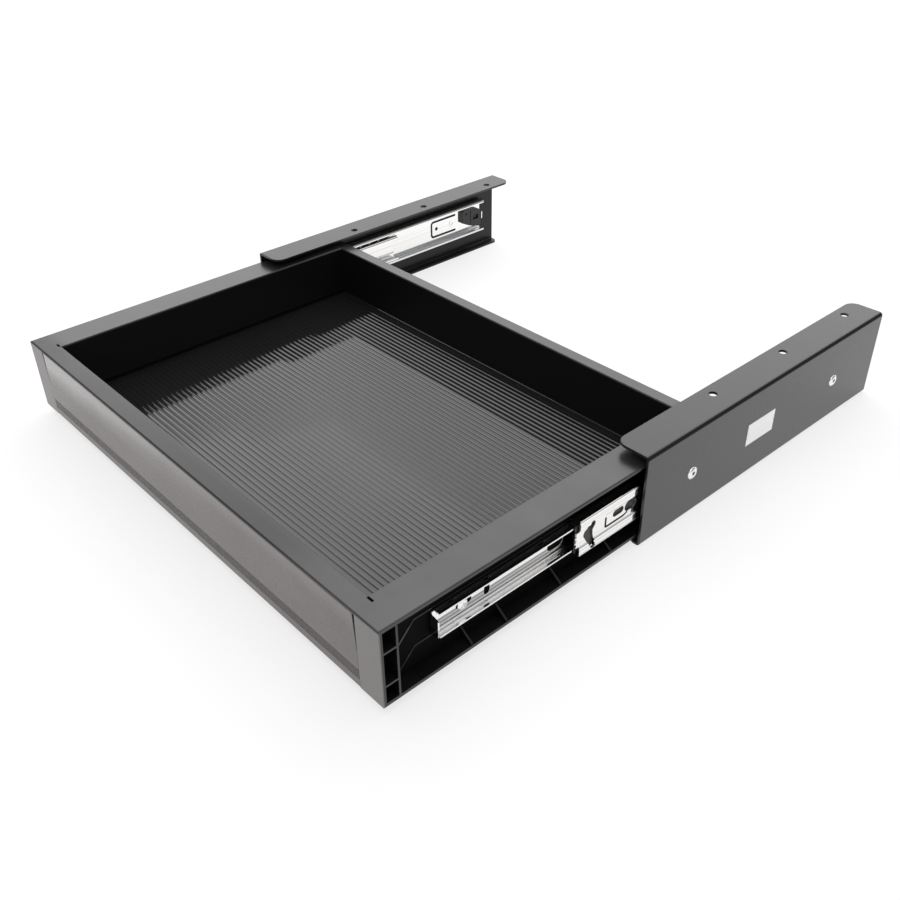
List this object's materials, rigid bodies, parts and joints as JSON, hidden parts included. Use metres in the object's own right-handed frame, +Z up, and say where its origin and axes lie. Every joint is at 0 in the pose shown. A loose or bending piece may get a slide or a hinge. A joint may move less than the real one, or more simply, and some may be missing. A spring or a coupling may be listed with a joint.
{
  "type": "drawer with side slides",
  "caption": "Shallow moulded drawer tray hung under a desk top from two flanged steel brackets on ball-bearing slides.",
  "frame": {"origin": "centre of the whole object's footprint at the brackets' lower faces, with the drawer standing 215.5 mm open", "axes": "+Z up towards the desk top, +Y towards the back, so the drawer opens along -Y; +X to the right as seen from the front"},
  "size_m": [0.4694, 0.533, 0.076],
  "materials": {
    "bracket_coat": "fine-texture black powder coat on steel sheet",
    "fastener_steel": "bright zinc-plated steel",
    "rail_zinc": "bright zinc-plated rolled steel",
    "catch_plastic": "black moulded plastic",
    "label_film": "white film sticker, left bare",
    "cage_steel": "plated steel strip",
    "ball_steel": "polished steel balls",
    "cage_plastic": "black moulded plastic",
    "tray_plastic": "satin black moulded plastic",
    "panel_plastic": "satin black plastic with fine grooves"
  },
  "bodies": {
    "brackets": {"left_bracket": "bracket_coat", "right_bracket": "bracket_coat", "left_bracket_rivets": "fastener_steel", "right_bracket_rivets": "fastener_steel", "left_outer_rail": "rail_zinc", "right_outer_rail": "rail_zinc", "left_rear_catch": "catch_plastic", "right_rear_catch": "catch_plastic", "blank_label": "label_film"},
    "drawer": {"tray": "tray_plastic", "front_panel": "panel_plastic", "left_inner_rail": "rail_zinc", "right_inner_rail": "rail_zinc", "left_rail_screws": "fastener_steel", "right_rail_screws": "fastener_steel"},
    "left_middle": {"left_middle_rail": "rail_zinc"},
    "left_outer_ball_cage": {"left_outer_cage": "cage_steel", "left_outer_balls": "ball_steel"},
    "left_inner_ball_cage": {"left_inner_cage": "cage_plastic", "left_inner_balls": "ball_steel"},
    "right_middle": {"right_middle_rail": "rail_zinc"},
    "right_outer_ball_cage": {"right_outer_cage": "cage_steel", "right_outer_balls": "ball_steel"},
    "right_inner_ball_cage": {"right_inner_cage": "cage_plastic", "right_inner_balls": "ball_steel"}
  },
  "joints": [
    {"name": "drawer_slide", "type": "slide", "parent": "brackets", "child": "drawer", "axis": [0, -1, 0], "range_m": [-0.2155, 0.0345]},
    {"name": "left_middle_slide", "type": "slide", "parent": "brackets", "child": "left_middle", "axis": [0, -1, 0], "range_m": [-0.09698, 0.01553]},
    {"name": "left_outer_ball_cage_slide", "type": "slide", "parent": "brackets", "child": "left_outer_ball_cage", "axis": [0, -1, 0], "range_m": [-0.04849, 0.00776]},
    {"name": "left_inner_ball_cage_slide", "type": "slide", "parent": "brackets", "child": "left_inner_ball_cage", "axis": [0, -1, 0], "range_m": [-0.15624, 0.02501]},
    {"name": "right_middle_slide", "type": "slide", "parent": "brackets", "child": "right_middle", "axis": [0, -1, 0], "range_m": [-0.09698, 0.01553]},
    {"name": "right_outer_ball_cage_slide", "type": "slide", "parent": "brackets", "child": "right_outer_ball_cage", "axis": [0, -1, 0], "range_m": [-0.04849, 0.00776]},
    {"name": "right_inner_ball_cage_slide", "type": "slide", "parent": "brackets", "child": "right_inner_ball_cage", "axis": [0, -1, 0], "range_m": [-0.15624, 0.02501]}
  ],
  "couplings": [
    {"joint": "left_middle_slide", "follows": "drawer_slide", "ratio": 0.45},
    {"joint": "left_outer_ball_cage_slide", "follows": "drawer_slide", "ratio": 0.225},
    {"joint": "left_inner_ball_cage_slide", "follows": "drawer_slide", "ratio": 0.725},
    {"joint": "right_middle_slide", "follows": "drawer_slide", "ratio": 0.45},
    {"joint": "right_outer_ball_cage_slide", "follows": "drawer_slide", "ratio": 0.225},
    {"joint": "right_inner_ball_cage_slide", "follows": "drawer_slide", "ratio": 0.725}
  ]
}
